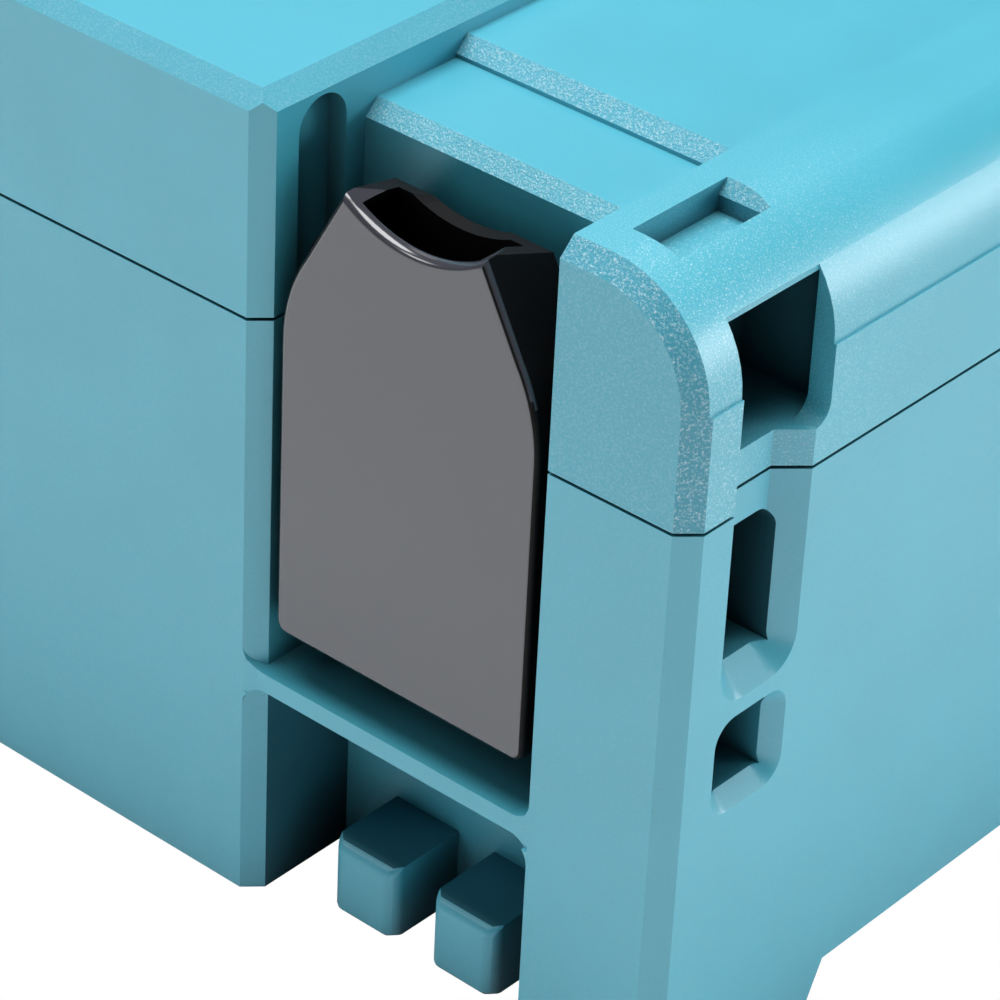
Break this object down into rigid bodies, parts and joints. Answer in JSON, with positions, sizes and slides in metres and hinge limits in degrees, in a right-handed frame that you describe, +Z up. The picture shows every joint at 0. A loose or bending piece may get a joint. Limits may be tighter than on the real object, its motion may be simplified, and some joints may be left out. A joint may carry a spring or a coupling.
{
  "type": "stackable tool case",
  "caption": "Low moulded tool case: tub and hinged lid, sliding corner latches in recesses with stacking lugs, and a folding carry handle.",
  "frame": {"origin": "middle of the case's footprint, on the surface that it stands on", "axes": "+X to the right along the case's width, +Y to the rear where the hinges are, +Z up; the front face is on -Y"},
  "size_m": [0.395, 0.295, 0.105],
  "materials": {
    "case_plastic": "moulded, soft smooth on the main faces and a grain on the edges of the corner blocks",
    "latch_plastic": "moulded, glossy",
    "grip_rubber": "soft, matt",
    "steel_pin": "drawn wire"
  },
  "bodies": {
    "tub": {"base_tub": "case_plastic", "hinge_pin_left": "steel_pin", "hinge_pin_right": "steel_pin"},
    "lid": {"lid_shell": "case_plastic", "handle_pin_left": "steel_pin", "handle_pin_right": "steel_pin"},
    "handle": {"carry_handle": "case_plastic", "handle_grip_cover": "grip_rubber"},
    "axle_front_right": {"latch_axle_front_right": "steel_pin", "slide_shoes_front_right": "latch_plastic"},
    "latch_front_right": {"latch_front_right": "latch_plastic"},
    "axle_front_left": {"latch_axle_front_left": "steel_pin", "slide_shoes_front_left": "latch_plastic"},
    "latch_front_left": {"latch_front_left": "latch_plastic"},
    "axle_rear_right": {"latch_axle_rear_right": "steel_pin", "slide_shoes_rear_right": "latch_plastic"},
    "latch_rear_right": {"latch_rear_right": "latch_plastic"},
    "axle_rear_left": {"latch_axle_rear_left": "steel_pin", "slide_shoes_rear_left": "latch_plastic"},
    "latch_rear_left": {"latch_rear_left": "latch_plastic"}
  },
  "joints": [
    {"name": "lid_hinge", "type": "hinge", "parent": "tub", "child": "lid", "pos_m": [0, 0.1435, 0.0776], "axis": [-1, 0, 0], "range_deg": [0, 95]},
    {"name": "handle_fold", "type": "hinge", "parent": "lid", "child": "handle", "pos_m": [0, 0.0115, 0.0965], "axis": [-1, 0, 0], "range_deg": [0, 90]},
    {"name": "latch_slide_front_right", "type": "slide", "parent": "tub", "child": "axle_front_right", "axis": [0, 0, 1], "range_m": [0, 0.02]},
    {"name": "latch_tilt_front_right", "type": "hinge", "parent": "axle_front_right", "child": "latch_front_right", "pos_m": [0.1583, -0.13825, 0.0465], "axis": [1, 0, 0], "range_deg": [0, 60]},
    {"name": "latch_slide_front_left", "type": "slide", "parent": "tub", "child": "axle_front_left", "axis": [0, 0, 1], "range_m": [0, 0.02]},
    {"name": "latch_tilt_front_left", "type": "hinge", "parent": "axle_front_left", "child": "latch_front_left", "pos_m": [-0.1583, -0.13825, 0.0465], "axis": [1, 0, 0], "range_deg": [0, 60]},
    {"name": "latch_slide_rear_right", "type": "slide", "parent": "tub", "child": "axle_rear_right", "axis": [0, 0, 1], "range_m": [0, 0.02]},
    {"name": "latch_tilt_rear_right", "type": "hinge", "parent": "axle_rear_right", "child": "latch_rear_right", "pos_m": [0.1583, 0.13425, 0.0465], "axis": [-1, 0, 0], "range_deg": [0, 60]},
    {"name": "latch_slide_rear_left", "type": "slide", "parent": "tub", "child": "axle_rear_left", "axis": [0, 0, 1], "range_m": [0, 0.02]},
    {"name": "latch_tilt_rear_left", "type": "hinge", "parent": "axle_rear_left", "child": "latch_rear_left", "pos_m": [-0.1583, 0.13425, 0.0465], "axis": [-1, 0, 0], "range_deg": [0, 60]}
  ]
}
